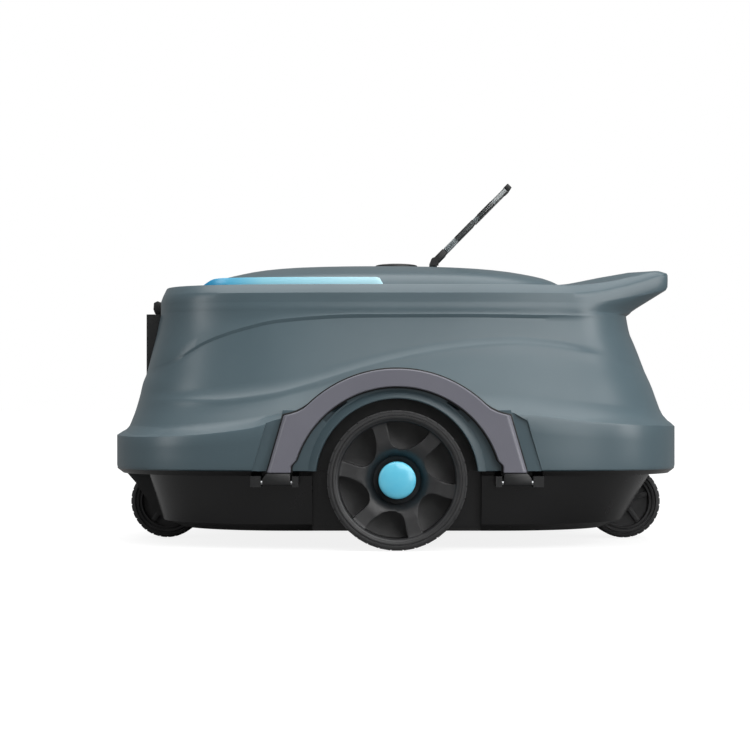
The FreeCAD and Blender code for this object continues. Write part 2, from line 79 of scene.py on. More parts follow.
def mouldedPlastic(name, look):
    # moulded plastic: faint cloud in the colour, spark-eroded texture and soft handling marks in the gloss
    made, tree, where = startMaterial(name)
    cloud = addNode(tree, "ShaderNodeTexNoise", {"Scale": 1 / (look["cloudMm"] * mm), "Detail": 3.0}, where)
    shade = addNode(tree, "ShaderNodeValToRGB", links={"Fac": (cloud, "Fac")})
    for stop, spot, tone in zip(shade.color_ramp.elements, cloudSpan, ("dark", "light")):
        stop.position, stop.color = spot, toLinear(look[tone])
    marks = addNode(tree, "ShaderNodeTexNoise",
                    {"Scale": 1 / (look["marksMm"] * mm), "Detail": 4.0, "Roughness": 0.6}, where)
    gloss = addNode(tree, "ShaderNodeMapRange", {"To Min": look["rough"][0], "To Max": look["rough"][1]},
                    {"Value": (marks, "Fac")})
    grain = addNode(tree, "ShaderNodeTexNoise", {"Scale": 1 / (look["grainMm"] * mm), "Detail": 2.0}, where)
    bump = addNode(tree, "ShaderNodeBump", {"Strength": look["bump"], "Distance": 0.05 * mm},
                   {"Height": (grain, "Fac")})
    shader = addNode(tree, "ShaderNodeBsdfPrincipled",
                     {"IOR": look["ior"], "Coat Weight": look.get("coat", 0.0), "Coat Roughness": 0.12},
                     {"Base Color": (shade, "Color"), "Roughness": (gloss, "Result"),
                      "Normal": (bump, "Normal")})
    endMaterial(tree, shader)
    return made


# ABS, injection moulded and spark-eroded satin: soft broad highlights, no sharp reflections
shellAbs = mouldedPlastic("satinBlueGreyAbs", {
    "dark": "#45565d", "light": "#4a5b62", "cloudMm": 60, "marksMm": 25,
    "rough": (0.30, 0.38), "grainMm": 0.6, "bump": 0.10, "ior": 1.52})
# the same ABS with a violet-grey pigment for the latches
latchAbs = mouldedPlastic("satinVioletGreyAbs", {
    "dark": "#66666f", "light": "#6c6c75", "cloudMm": 40, "marksMm": 18,
    "rough": (0.26, 0.34), "grainMm": 0.6, "bump": 0.08, "ior": 1.52})
# polished black ABS tray: deep black with a long soft gloss and faint scuffs
hullAbs = mouldedPlastic("polishedBlackAbs", {
    "dark": "#060607", "light": "#09090a", "cloudMm": 80, "marksMm": 22,
    "rough": (0.22, 0.30), "grainMm": 1.5, "bump": 0.02, "ior": 1.52})
# glass-filled nylon for clips, brackets, grille and housings: flat black with a fine grit
blackNylon = mouldedPlastic("glassFilledBlackNylon", {
    "dark": "#08090a", "light": "#0d0e0f", "cloudMm": 12, "marksMm": 5,
    "rough": (0.36, 0.52), "grainMm": 0.5, "bump": 0.25, "ior": 1.53})
# nylon wheel: dark grey with a dry sheen and worn gloss on its high places
wheelNylon = mouldedPlastic("dryGreyNylon", {
    "dark": "#1e1e1f", "light": "#262627", "cloudMm": 9, "marksMm": 6,
    "rough": (0.38, 0.55), "grainMm": 0.5, "bump": 0.22, "ior": 1.53})
# vulcanised rubber: grey-black, almost no gloss, uneven where it has run on tiles
tyreRubber = mouldedPlastic("vulcanisedRubber", {
    "dark": "#1e1e1f", "light": "#282829", "cloudMm": 7, "marksMm": 3,
    "rough": (0.55, 0.75), "grainMm": 0.8, "bump": 0.45, "ior": 1.52})
# silicone rubber for seals, boots and the plug: soft black with a slight bloom
sealRubber = mouldedPlastic("blackSiliconeRubber", {
    "dark": "#0f1011", "light": "#191a1b", "cloudMm": 10, "marksMm": 4,
    "rough": (0.45, 0.6), "grainMm": 0.7, "bump": 0.2, "ior": 1.43})
# glossy ABS cap, pigmented blue
hubBlueAbs = mouldedPlastic("glossyBlueAbs", {
    "dark": "#56bada", "light": "#68c6e0", "cloudMm": 16, "marksMm": 8,
    "rough": (0.14, 0.22), "grainMm": 1.0, "bump": 0.03, "ior": 1.52, "coat": 0.3})
# polypropylene for the basket, duct and impeller: waxy pale grey
greyPolypropylene = mouldedPlastic("waxyGreyPolypropylene", {
    "dark": "#8d9294", "light": "#9ca1a3", "cloudMm": 22, "marksMm": 9,
    "rough": (0.38, 0.5), "grainMm": 0.9, "bump": 0.12, "ior": 1.49})


def machinedMetal(name, look):
    # turned or drawn metal: fine tool lines across the piece and dull handling marks
    made, tree, where = startMaterial(name)
    stretch = addNode(tree, "ShaderNodeMapping", {"Scale": look["stretch"]}, where)
    lines = addNode(tree, "ShaderNodeTexNoise", {"Scale": 1 / (look["lineMm"] * mm), "Detail": 3.0},
                    {"Vector": (stretch, "Vector")})
    shade = addNode(tree, "ShaderNodeMix",
                    {"data_type": "RGBA", 6: toLinear(look["dark"]), 7: toLinear(look["light"])},
                    {0: (lines, "Fac")})
    dull = addNode(tree, "ShaderNodeTexNoise", {"Scale": 1 / (look["marksMm"] * mm)}, where)
    gloss = addNode(tree, "ShaderNodeMapRange", {"To Min": look["rough"][0], "To Max": look["rough"][1]},
                    {"Value": (dull, "Fac")})
    bump = addNode(tree, "ShaderNodeBump", {"Strength": 0.12, "Distance": 0.02 * mm},
                   {"Height": (lines, "Fac")})
    shader = addNode(tree, "ShaderNodeBsdfPrincipled", {"Metallic": 1.0},
                     {"Base Color": (shade, 2), "Roughness": (gloss, "Result"), "Normal": (bump, "Normal")})
    endMaterial(tree, shader)
    return made


# 316 stainless pins, screws, axles and motor cans: bright grey with turned lines
stainlessSteel = machinedMetal("turnedStainlessSteel", {
    "dark": "#a9abad", "light": "#c3c5c6", "stretch": (1, 12, 1), "lineMm": 1.5, "marksMm": 6,
    "rough": (0.24, 0.36)})
# brass bushes and pinions: yellow, hobbed and left bright
brass = machinedMetal("machinedBrass", {
    "dark": "#b08d4a", "light": "#d0ae66", "stretch": (1, 10, 1), "lineMm": 1.2, "marksMm": 5,
    "rough": (0.22, 0.34)})


def makeClearPolycarbonate():
    # clear polycarbonate sheet: see-through, glossy, with faint haze from handling
    made, tree, where = startMaterial("clearPolycarbonate")
    haze = addNode(tree, "ShaderNodeTexNoise", {"Scale": 1 / (9 * mm), "Detail": 3.0}, where)
    gloss = addNode(tree, "ShaderNodeMapRange", {"To Min": 0.02, "To Max": 0.12}, {"Value": (haze, "Fac")})
    shader = addNode(tree, "ShaderNodeBsdfPrincipled",
                     {"Base Color": toLinear("#eef7f8"), "IOR": 1.58, "Transmission Weight": 0.96},
                     {"Roughness": (gloss, "Result")})
    endMaterial(tree, shader)
    return made


def makeMeshCloth():
    # woven polyester filter cloth, threads 0.9 mm apart, drawn at 1.8 mm so that they show
    made, tree, where = startMaterial("wovenPolyesterMesh")
    threadMm, waveTurn = 1.8, 6.283     # a wave node at scale 1 repeats this many times in a metre
    waves = [addNode(tree, "ShaderNodeTexWave",
                     {"Scale": 1 / (threadMm * mm) / waveTurn, "bands_direction": axis}, where)
             for axis in ("X", "Y", "Z")]
    first = addNode(tree, "ShaderNodeMath", {"operation": "MAXIMUM"},
                    {0: (waves[0], "Fac"), 1: (waves[1], "Fac")})
    weave = addNode(tree, "ShaderNodeMath", {"operation": "MAXIMUM"},
                    {0: (first, "Value"), 1: (waves[2], "Fac")})
    shade = addNode(tree, "ShaderNodeMix",
                    {"data_type": "RGBA", 6: toLinear("#3c4042"), 7: toLinear("#8f9698")},
                    {0: (weave, "Value")})
    bump = addNode(tree, "ShaderNodeBump", {"Strength": 0.5, "Distance": 0.2 * mm},
                   {"Height": (weave, "Value")})
    shader = addNode(tree, "ShaderNodeBsdfPrincipled",
                     {"Roughness": 0.8, "Sheen Weight": 0.2, "Sheen Roughness": 0.5},
                     {"Base Color": (shade, 2), "Normal": (bump, "Normal")})
    endMaterial(tree, shader)
    return made


def makeCircuitBoard():
    # FR4 board: green lacquer over a square grid of pads at 2.54 mm
    made, tree, where = startMaterial("greenLacqueredFibreglass")
    padMm = 2.54
    pads = addNode(tree, "ShaderNodeTexVoronoi", {"Scale": 1 / (padMm * mm), "Randomness": 0.0}, where)
    spot = addNode(tree, "ShaderNodeMapRange",
                   {"From Min": 0.2, "From Max": 0.28, "To Min": 1.0, "To Max": 0.0},
                   {"Value": (pads, "Distance")})
    shade = addNode(tree, "ShaderNodeMix",
                    {"data_type": "RGBA", 6: toLinear("#1f5b3a"), 7: toLinear("#b9b6a0")},
                    {0: (spot, "Result")})
    shader = addNode(tree, "ShaderNodeBsdfPrincipled", {"Roughness": 0.35, "IOR": 1.55},
                     {"Base Color": (shade, 2)})
    endMaterial(tree, shader)
    return made


def makeStripBlue():
    # translucent blue polycarbonate strip, lightly frosted, deep blue at its nose and paler to the rear
    made, tree, where = startMaterial("frostedBluePolycarbonate")
    split = addNode(tree, "ShaderNodeSeparateXYZ", links=where)
    along = addNode(tree, "ShaderNodeMapRange", {"From Min": -142 * mm, "From Max": -15 * mm},
                    {"Value": (split, "X")})
    shade = addNode(tree, "ShaderNodeValToRGB", links={"Fac": (along, "Result")})
    ramp = shade.color_ramp
    ramp.elements[0].color, ramp.elements[1].color = toLinear("#1290c6"), toLinear("#bfeaf5")
    for spot, colour in ((0.12, "#3fb4df"), (0.35, "#98d9ec")):
        ramp.elements.new(spot).color = toLinear(colour)
    frost = addNode(tree, "ShaderNodeTexNoise", {"Scale": 1 / (10 * mm), "Detail": 3.0}, where)
    gloss = addNode(tree, "ShaderNodeMapRange", {"To Min": 0.2, "To Max": 0.3}, {"Value": (frost, "Fac")})
    shader = addNode(tree, "ShaderNodeBsdfPrincipled", {"IOR": 1.58},
                     {"Base Color": (shade, "Color"), "Roughness": (gloss, "Result")})
    endMaterial(tree, shader)
    return made


stripBlue = makeStripBlue()
clearPolycarbonate = makeClearPolycarbonate()
meshCloth = makeMeshCloth()
circuitBoard = makeCircuitBoard()
print("materials made")


camera = {   # place, lens and sensor in mm, rise as a share of the picture's width, clip in metres
    "at": (-15.5, -1850, 100.9), "lens": 114.8, "sensor": 36.0, "rise": 0.041333333, "clip": (0.05, 100)}


def addObject(name, data):
    made = bpy.data.objects.new(name, data)
    bpy.context.scene.collection.objects.link(made)
    return made


def makeCamera():
    data = bpy.data.cameras.new("camera")
    data.lens, data.sensor_width, data.shift_y = camera["lens"], camera["sensor"], camera["rise"]
    data.clip_start, data.clip_end = camera["clip"]
    made = addObject("camera", data)
    made.location = [v * mm for v in camera["at"]]
    made.rotation_euler = (math.radians(90), 0, 0)
    bpy.context.scene.camera = made


softBoxes = {   # place in metres, size in metres, power in watts
    "frontFill": {"at": (1.15, -2.2, 1.7), "size": (2.6, 1.6), "power": 46},
    "frontLow": {"at": (1.5, -2.5, 0.4), "size": (1.2, 0.8), "power": 9},
    "sideLeft": {"at": (-1.8, -0.9, 0.7), "size": (0.5, 1.2), "power": 7},
    "sideRight": {"at": (1.8, -0.7, 0.8), "size": (0.6, 1.4), "power": 14},
}
lightAim = (0, 0, 0.1)
skyLight = {"strength": 2.5, "spread": 70}     # broad light from straight above
studio = {"lit": 0.26, "seen": 1.0}            # strength of the white world as a light and to the camera


def makeLights():
    for name, box in softBoxes.items():
        data = bpy.data.lights.new(name, "AREA")
        data.shape, data.size, data.size_y = "RECTANGLE", box["size"][0], box["size"][1]
        data.energy = box["power"]
        made = addObject(name, data)
        made.location = box["at"]
        made.rotation_euler = (Vector(lightAim) - made.location).to_track_quat("-Z", "Y").to_euler()
    data = bpy.data.lights.new("skyLight", "SUN")
    data.energy, data.angle = skyLight["strength"], math.radians(skyLight["spread"])
    addObject("skyLight", data)


def makeWorld():
    # a white studio behind the object, dimmer as a light than it looks
    world = bpy.data.worlds.new("studio")
    bpy.context.scene.world = world
    world.use_nodes = True
    tree = world.node_tree
    tree.nodes.clear()
    path = addNode(tree, "ShaderNodeLightPath")
    lit, seen = (addNode(tree, "ShaderNodeBackground", {"Color": (1, 1, 1, 1), "Strength": studio[use]})
                 for use in ("lit", "seen"))
    blend = addNode(tree, "ShaderNodeMixShader",
                    links={0: (path, "Is Camera Ray"), 1: (lit, 0), 2: (seen, 0)})
    addNode(tree, "ShaderNodeOutputWorld", links={"Surface": (blend, 0)})
    bpy.context.scene.view_settings.view_transform = "Standard"


makeCamera()
makeLights()
print("camera and lights made")


def objectMode():
    if bpy.context.mode != "OBJECT":
        bpy.ops.object.mode_set(mode="OBJECT")


def deselectAll():
    objectMode()
    bpy.ops.object.select_all(action="DESELECT")


def pick(*made):
    # selects these and nothing else, with the first one active
    deselectAll()
    for item in made:
        item.select_set(True)
    bpy.context.view_layer.objects.active = made[0]


def startPiece(name):
    # names the primitive that was just added
    made = bpy.context.active_object
    made.name = name
    made.data.name = name
    return made


def choose(piece, kind, test):
    # selects the piece's vertices, edges or faces that pass a test, and opens edit mode in that select mode
    bpy.ops.object.mode_set(mode="EDIT")
    bpy.ops.mesh.select_mode(type=kind)
    bpy.ops.mesh.select_all(action="DESELECT")
    objectMode()
    data = piece.data
    groups = {"VERT": data.vertices, "EDGE": data.edges, "FACE": data.polygons}
    for item in groups[kind]:
        item.select = bool(test(item))
    bpy.ops.object.mode_set(mode="EDIT")


def cleanUp(piece, gap=0.01):
    # merges doubles and turns every face outwards
    choose(piece, "VERT", lambda item: True)
    bpy.ops.mesh.remove_doubles(threshold=gap * mm)
    bpy.ops.mesh.normals_make_consistent(inside=False)
    objectMode()


def applyModifier(piece, kind, settings):
    bpy.context.view_layer.objects.active = piece
    modifier = piece.modifiers.new(kind.lower(), kind)
    for key, value in settings.items():
        setattr(modifier, key, value)
    bpy.ops.object.modifier_apply(modifier=modifier.name)


def cutWith(piece, tool):
    applyModifier(piece, "BOOLEAN", {"operation": "DIFFERENCE", "object": tool, "solver": "EXACT"})
    bpy.data.objects.remove(tool)


def softenEdges(piece, width, segments=2, angle=35):
    applyModifier(piece, "BEVEL", {"width": width * mm, "segments": segments, "limit_method": "ANGLE",
                                   "angle_limit": math.radians(angle)})


def finishPiece(piece, body, material, replaced=(), smooth=35, even=False):
    # smooth is the angle in degrees up to which edges are shaded smooth
    pick(piece)
    bpy.ops.object.transform_apply(location=True, rotation=True, scale=True)
    bpy.ops.object.shade_smooth_by_angle(angle=math.radians(smooth))
    if even:    # large faces keep flat shading up to their rounded edges
        applyModifier(piece, "WEIGHTED_NORMAL", {"weight": 80, "keep_sharp": True})
    piece.data.materials.clear()
    piece.data.materials.append(material)
    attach(piece, body)
    if replaced:
        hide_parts(*replaced)
    deselectAll()


def outlinePlate(name, points, near, far):
    # a plate in the XZ plane from its outline in mm, between two values of Y
    deselectAll()
    bpy.ops.mesh.primitive_circle_add(vertices=len(points), fill_type="NGON")
    piece = startPiece(name)
    for vertex, (x, z) in zip(piece.data.vertices, points):
        vertex.co = (x * mm, near * mm, z * mm)
    choose(piece, "FACE", lambda item: True)
    bpy.ops.mesh.extrude_region_move(TRANSFORM_OT_translate={"value": (0, (far - near) * mm, 0)})
    objectMode()
    cleanUp(piece)
    return piece


def arcPoints(middle, radius, start, end, count):
    # points on an arc, with angles in degrees from +X towards +Z
    angles = [math.radians(start + (end - start) * i / (count - 1)) for i in range(count)]
    return [(middle[0] + radius * math.cos(a), middle[1] + radius * math.sin(a)) for a in angles]


def spunRing(name, profile, axis, centre, steps):
    # turns a profile of (radius, along the axis) in mm about an axis through centre
    deselectAll()
    bpy.ops.mesh.primitive_circle_add(vertices=len(profile), fill_type="NOTHING")
    piece = startPiece(name)
    turn = Vector((0, 1, 0)) if axis == "Y" else Vector((0, 0, 1))
    outward = Vector((1, 0, 0))
    middle = Vector(centre) * mm
    for vertex, (radius, along) in zip(piece.data.vertices, profile):
        vertex.co = middle + (outward * radius + turn * along) * mm
    choose(piece, "VERT", lambda item: True)
    bpy.ops.mesh.spin(steps=steps, angle=math.tau, center=middle, axis=turn)
    objectMode()
    cleanUp(piece)
    return piece


def smoothCurve(points, value):
    # a smooth line through (place, height) points that never overshoots them
    places, heights = zip(*points)
    if value <= places[0]:
        return heights[0]
    if value >= places[-1]:
        return heights[-1]
    slopes = [(heights[i + 1] - heights[i]) / (places[i + 1] - places[i]) for i in range(len(points) - 1)]
    i = max(k for k in range(len(points) - 1) if places[k] <= value)

    def bend(k):
        if k == 0 or k == len(points) - 1:
            return slopes[min(k, len(slopes) - 1)]
        before, after = slopes[k - 1], slopes[k]
        return 0 if before * after <= 0 else 2 * before * after / (before + after)

    span = places[i + 1] - places[i]
    t = (value - places[i]) / span
    return ((2 * t ** 3 - 3 * t ** 2 + 1) * heights[i] + (t ** 3 - 2 * t ** 2 + t) * span * bend(i)
            + (3 * t ** 2 - 2 * t ** 3) * heights[i + 1] + (t ** 3 - t ** 2) * span * bend(i + 1))


def easing(value, low, high):
    # 0 below low, 1 above high, smooth between
    t = min(1.0, max(0.0, (value - low) / (high - low)))
    return t * t * (3 - 2 * t)


def mix(a, b, share):
    return a + (b - a) * share


coverSkin = {
    "columns": 256,
    "squareness": 3.8,            # of the plan outside, 2 is an ellipse
    "innerSquareness": 4.0,
    "evenPlan": (191, 150),       # half sizes of the plan that the columns are spaced on
    "evenSamples": 6001,
    "halfLength": 189,
    # outside profiles: height and reach from the middle
    "front": [(55, 208.9), (57, 209.5), (82, 209.5), (84, 206), (87, 201.2), (92, 198.7), (99, 195.8),
              (109, 192.9), (118, 190.9), (125, 188.2), (150, 182.1), (167, 177.9), (179, 177.8),
              (180.4, 177.3), (188, 174.1), (189, 173.4)],
    "rear": [(55, 208.9), (57, 209.5), (82, 209.5), (84, 207.2), (87, 203.6), (93, 199.7), (102, 196.8),
             (115, 192.9), (127, 188), (146, 180.9), (155, 177.1), (167, 174.8), (175.4, 173.4), (183, 171),
             (189, 165.6)],
    "side": [(82, 160), (88, 156.5), (100, 151), (125, 142.5), (155, 132.8), (167, 130), (175.4, 129.4)],
    "skirtHalf": 167,
    # lines along the side: place along the cleaner and height
    "skirtTop": [(-215, 82), (-170, 79), (-139, 80), (-96, 85), (-70, 92), (0, 97), (86, 94.6), (115, 91),
                 (150, 88), (190, 86), (215, 82)],
    "ridge": [(-200, 107), (-165, 106), (-129, 106), (-88.6, 110.4), (-60, 117.8), (-30, 127.6),
              (0, 135.6), (30, 141.4), (60, 145), (90, 146.5), (119, 144), (145, 139.5), (200, 124)],
    "shoulder": [(-200, 122), (-164, 134.5), (-141, 147.5), (-115, 156.5), (-89, 162), (-28, 165.6),
                 (52, 165.8), (117, 165.2), (150, 165.4), (200, 165.5)],
    "endLedge": 82,               # height of the skirt's top in the front and rear profiles
    "endLedgeFrom": 60,           # the profiles stay as they are below this
    "reliefAside": (0.5, 0.92),   # the side's relief fades in over this share of the half width
    "reliefEnd": (128, 166),      # and out over this stretch before the rear
    "wing": (53, 41),             # degrees from the rear at which the handle starts, and its easing
    "foot": [(55, -0.8), (55.8, -0.1), (57.5, 0)],      # skirt's foot: height, out from the skirt
    "skirtSteps": (0.33, 0.66, 1.0), "skirtEnd": 1.5,
    "ledge": [(-0.3, -0.6), (2.2, -4.2), (4.0, -6.0)],  # over the skirt's top, out from the skirt
    "slopeSteps": (0.12, 0.25, 0.4, 0.55, 0.7, 0.85, 1.0), "slopeEnd": 3.5,
    "slopeEase": (-0.25, 1.15), "slopeEased": 0.35, "slopeOnSide": 0.35,
    "ridgeOut": 1.1, "grooveIn": 1.2,
    # ridge rows: over the line, over it where the side is read, outwards at full relief
    "ridgeRows": [(-1.2, -1.2, 1.1), (0.3, 0, 0.4), (3.2, 3, -1.2)],
    "panelSteps": (0.15, 0.35, 0.55, 0.75, 0.9, 1.0), "panelEnd": 3.6, "panelIn": 0.35,
    "shoulderRows": [(-1.2, -0.1225), (0.5, 0.42), (1.4, 0.6)], "shoulderOut": 0.6,
    "upperSteps": (0.3, 0.65), "upperEnd": 169, "upperOut": 0.5,
    "tipSquareness": 10,          # of the handle's outer edge in plan
    # rim rows: height and half width, then where the row goes on the middle line of the handle
    "rim": [(169.2, 130.3, 175.2, 169.6), (170.1, 130.25, 176.6, 171.2), (171.4, 130.2, 180.4, 173.8),
            (173.4, 129.9, 191.4, 180.6), (175.4, 129.4, 202.4, 187.4), (176.2, 129.3, 203.6, 189.6),
            (179, 129.1, 203.8, 194), (182.6, 128.8, 203.7, 198.4), (183.6, 128.0, 202.9, 199.8),
            (188.3, 123.8, 197.2, 201.5), (189, 122.6, 194.4, 201.6)],
    "handleTip": 90,              # half width of the handle's tip
    # deck rows from the rim to the lid's opening: share of the way, height, share of the handle's rise
    "deck": [(0.25, 189.0, 0.93), (0.55, 189.3, 0.62), (0.8, 190.2, 0.25), (1.0, 191, 0.0)],
    "lidEdge": (-138, 118, 92),   # deck opening: front, rear, half width
    "lidEdgeFoot": 186,
    # inside rows: height, reach and half width
    "inner": [(186, 162.7, 119), (179, 168, 124), (167, 171.4, 126.5), (125, 184.1, 139), (100, 192.9, 147.5),
              (88, 197.7, 153), (80, 206.5, 162.2), (55, 206.5, 162.2)],
}


def squared(value, power):
    # a sine or cosine pressed towards a squarer outline
    return math.copysign(abs(value) ** power, value)


def skinRows(angle):
    # the closed section of the cover moulding at one angle round the plan, 0 at the rear, in mm
    look = coverSkin
    power = 2 / look["squareness"]
    c, s = math.cos(angle), math.sin(angle)
    across, aside = squared(c, power), squared(s, power)
    place = look["halfLength"] * across
    ledge, ridge, shoulder = (smoothCurve(look[line], place) for line in ("skirtTop", "ridge", "shoulder"))
    relief = easing(abs(aside), *look["reliefAside"]) * (1 - easing(place, *look["reliefEnd"]))
    ends = look["rear"] if across > 0 else look["front"]
    wing = easing(look["wing"][0] - abs(math.degrees(angle)), 0, look["wing"][1])

    def body(z):
        return smoothCurve(look["side"], z)

    def point(z, half):
        shift = (ledge - look["endLedge"]) * (1 - easing(z, ledge, ridge)) if z > look["endLedgeFrom"] else 0
        reach = smoothCurve(ends, z - shift)
        return (reach * across, half * aside, z)

    skirt = look["skirtHalf"]
    rows = [point(z, skirt + out) for z, out in look["foot"]]
    rows += [point(mix(look["foot"][-1][0], ledge - look["skirtEnd"], t), skirt) for t in look["skirtSteps"]]
    rows += [point(ledge + up, skirt + out) for up, out in look["ledge"]]
    up, out = look["ledge"][-1]
    low, high, foot = ledge + up, ridge - look["slopeEnd"], skirt + out
    for t in look["slopeSteps"]:
        z = mix(low, high, t)
        share = easing(t, *look["slopeEase"]) * look["slopeEased"] + t * (1 - look["slopeEased"])
        half = mix(foot, body(high) + look["ridgeOut"] * relief, share)
        rows.append(point(z, mix(half, body(z), look["slopeOnSide"])))
    rows += [point(ridge + up, body(ridge + read) + out * relief) for up, read, out in look["ridgeRows"]]
    low, high = ridge + look["ridgeRows"][-1][0], shoulder - look["panelEnd"]
    for t in look["panelSteps"]:
        z = mix(low, high, t)
        rows.append(point(z, body(z) - mix(look["grooveIn"], look["panelIn"], t) * relief))
    rows += [point(shoulder + up, body(shoulder) + out * relief) for up, out in look["shoulderRows"]]
    for t in look["upperSteps"]:
        z = mix(shoulder + look["shoulderRows"][-1][0], look["upperEnd"], t)
        rows.append(point(z, body(z) + mix(look["shoulderOut"], look["upperOut"], t) * relief))
    tipAcross, tipAside = (squared(v, 2 / look["tipSquareness"]) for v in (c, s))
    for z, half, tipX, tipZ in look["rim"]:
        x, y, _ = point(z, half)
        tip = (tipX * tipAcross, look["handleTip"] * tipAside, tipZ)
        rows.append(tuple(mix(here, there, wing) for here, there in zip((x, y, z), tip)))
    topX, topY, topZ = rows[-1]
    front, rear, half = look["lidEdge"]
    lidX, lidY = (rear if across > 0 else -front) * across, half * aside
    rows += [(mix(topX, lidX, t), mix(topY, lidY, t), mix(z, topZ, rise * wing))
             for t, z, rise in look["deck"]]
    rows.append((lidX, lidY, look["lidEdgeFoot"]))
    inner = 2 / look["innerSquareness"]
    rows += [(squared(c, inner) * reach, squared(s, inner) * half, z) for z, reach, half in look["inner"]]
    return rows


def evenAngles(count):
    # angles round the plan that give columns of even width
    turns = np.linspace(-math.pi, math.pi, coverSkin["evenSamples"])
    power = 2 / coverSkin["squareness"]
    across, aside = (size * np.sign(wave) * np.abs(wave) ** power
                     for size, wave in zip(coverSkin["evenPlan"], (np.cos(turns), np.sin(turns))))
    run = np.concatenate(([0], np.cumsum(np.hypot(np.diff(across), np.diff(aside)))))
    return np.interp(np.linspace(0, run[-1], count, endpoint=False), run, turns)


def shapedRing(name, columns):
    # a closed ring of sections in mm, shaped from a torus that has a point for each of theirs
    deselectAll()
    bpy.ops.mesh.primitive_torus_add(major_segments=len(columns), minor_segments=len(columns[0]),
                                     major_radius=0.15, minor_radius=0.03)
    piece = startPiece(name)
    piece.data.vertices.foreach_set("co", np.array(columns).reshape(-1) * mm)
    piece.data.update()
    cleanUp(piece)
    return piece


def makeCoverSkin():
    return shapedRing("coverSkin", [skinRows(float(angle)) for angle in evenAngles(coverSkin["columns"])])


def blockPiece(name, low, high):
    # a block between two corners in mm
    deselectAll()
    bpy.ops.mesh.primitive_cube_add(size=1, location=[(a + b) / 2 * mm for a, b in zip(low, high)])
    piece = startPiece(name)
    piece.scale = [(b - a) * mm for a, b in zip(low, high)]
    bpy.ops.object.transform_apply(location=True, scale=True)
    return piece


def barrelPiece(name, radius, place, low, high):
    # a round bar along Y, between two values of Y, about place = (x, z)
    deselectAll()
    bpy.ops.mesh.primitive_cylinder_add(vertices=160, radius=radius * mm, depth=abs(high - low) * mm,
                                        rotation=(math.pi / 2, 0, 0),
                                        location=(place[0] * mm, (low + high) / 2 * mm, place[1] * mm))
    piece = startPiece(name)
    bpy.ops.object.transform_apply(location=True, rotation=True, scale=True)
    return piece


def turnedCopies(piece, count, axis, centre):
    # copies of a piece evenly round an axis through centre, each with its own mesh, joined with it
    made = [piece]
    for index in range(1, count):
        pick(piece)
        bpy.ops.object.duplicate()
        copied = bpy.context.active_object
        choose(copied, "VERT", lambda item: True)
        bpy.ops.transform.rotate(value=math.tau * index / count, orient_axis=axis,
                                 center_override=[v * mm for v in centre])
        objectMode()
        made.append(copied)
    return joinPieces(made)


def joinPieces(made):
    pick(*made)
    bpy.ops.object.join()
    return made[0]


archTool = {"radius": 59.5, "axle": (0, 49), "near": 110, "far": 200}
latchRecess = {"outline": [(-104.6, 48), (-92, 90.5), (-79, 98), (79, 98), (92, 90.5), (104.6, 48)],
               "face": 163.2, "far": 180}
nozzleGap = {"low": (-200, -46.2, 124.8), "high": (-160, 46.2, 170.2)}
gripHole = {"low": (174.7, -54, 168), "high": (189.8, 54, 230), "corner": 7}

cover = makeCoverSkin()
for _, side in sides:
    cutWith(cover, outlinePlate("recessTool", latchRecess["outline"], side * latchRecess["face"],
                                side * latchRecess["far"]))
    cutWith(cover, barrelPiece("archTool", archTool["radius"], archTool["axle"], side * archTool["near"],
                               side * archTool["far"]))
grip = blockPiece("gripTool", gripHole["low"], gripHole["high"])
heights = [vertex.co.z for vertex in grip.data.vertices]
choose(grip, "EDGE", lambda item: heights[item.vertices[0]] != heights[item.vertices[1]])
bpy.ops.mesh.bevel(offset=gripHole["corner"] * mm, segments=8)
objectMode()
cutWith(cover, grip)
cutWith(cover, blockPiece("nozzleTool", nozzleGap["low"], nozzleGap["high"]))
finishPiece(cover, "cover", shellAbs, ("cover_shell", "rear_handle"), smooth=28)
print("cover skin made", len(cover.data.polygons))


lid = {
    # half width of a ring of the lid, then its height, front and rear
    "height": [(0, 208.5), (24, 207.6), (50, 205.9), (73, 203.4), (96, 197.8), (103.5, 192.6), (106, 188.6)],
    "front": [(0, -11), (24, -46), (50, -82), (73, -104), (96, -129), (103.5, -145), (106, -150)],
    "rear": [(0, -11), (24, 22), (50, 55), (73, 81), (96, 111), (103.5, 124.5), (106, 128)],
    "rings": (106, 105.5, 104.6, 103.2, 101, 98, 94, 88.5, 81.5, 73.5, 64.5, 55, 45, 35, 25, 15, 7, 0),
    "columns": 160, "squareness": (2.2, 3.4), "thickness": 2.8,
    "buttonHole": [(0.02, 180), (16.9, 180), (16.9, 220), (0.02, 220)], "buttonPlace": (1, 0, 0),
}


def makeLid():
    look = lid
    widest = look["rings"][0]
    rows = [(h, 0) for h in look["rings"]] + [(h, look["thickness"]) for h in reversed(look["rings"])]
    columns = []
    for angle in (math.tau * column / look["columns"] for column in range(look["columns"])):
        column = []
        for half, down in rows:
            power = 2 / mix(*look["squareness"], half / widest)
            c, s = squared(math.cos(angle), power), squared(math.sin(angle), power)
            front, rear = (smoothCurve(look[end], half) for end in ("front", "rear"))
            shrink = 1 - down / widest
            column.append(((front + rear) / 2 + (rear - front) / 2 * c * shrink, half * s * shrink,
                           smoothCurve(look["height"], half) - down))
        columns.append(column)
    piece = shapedRing("domeLid", columns)
    cutWith(piece, spunRing("buttonTool", look["buttonHole"], "Z", look["buttonPlace"], steps=64))
    finishPiece(piece, "cover", shellAbs, ("dome_lid",), smooth=40)


makeLid()
print("lid made")

fender = {
    "foot": (90.5, 55), "corner": (80.4, 98.2), "shoulder": (64, 98.2), "middle": (0, 37.4), "radius": 88,
    "archSpan": (130, 190), "archPoints": 49, "near": 146, "face": 165.5, "edge": 1.0,
    "slotRadii": (64.6, 71.8), "slotAngle": 48, "slotSweep": 9, "slotSpan": (158, 175), "slotPoints": 15,
}


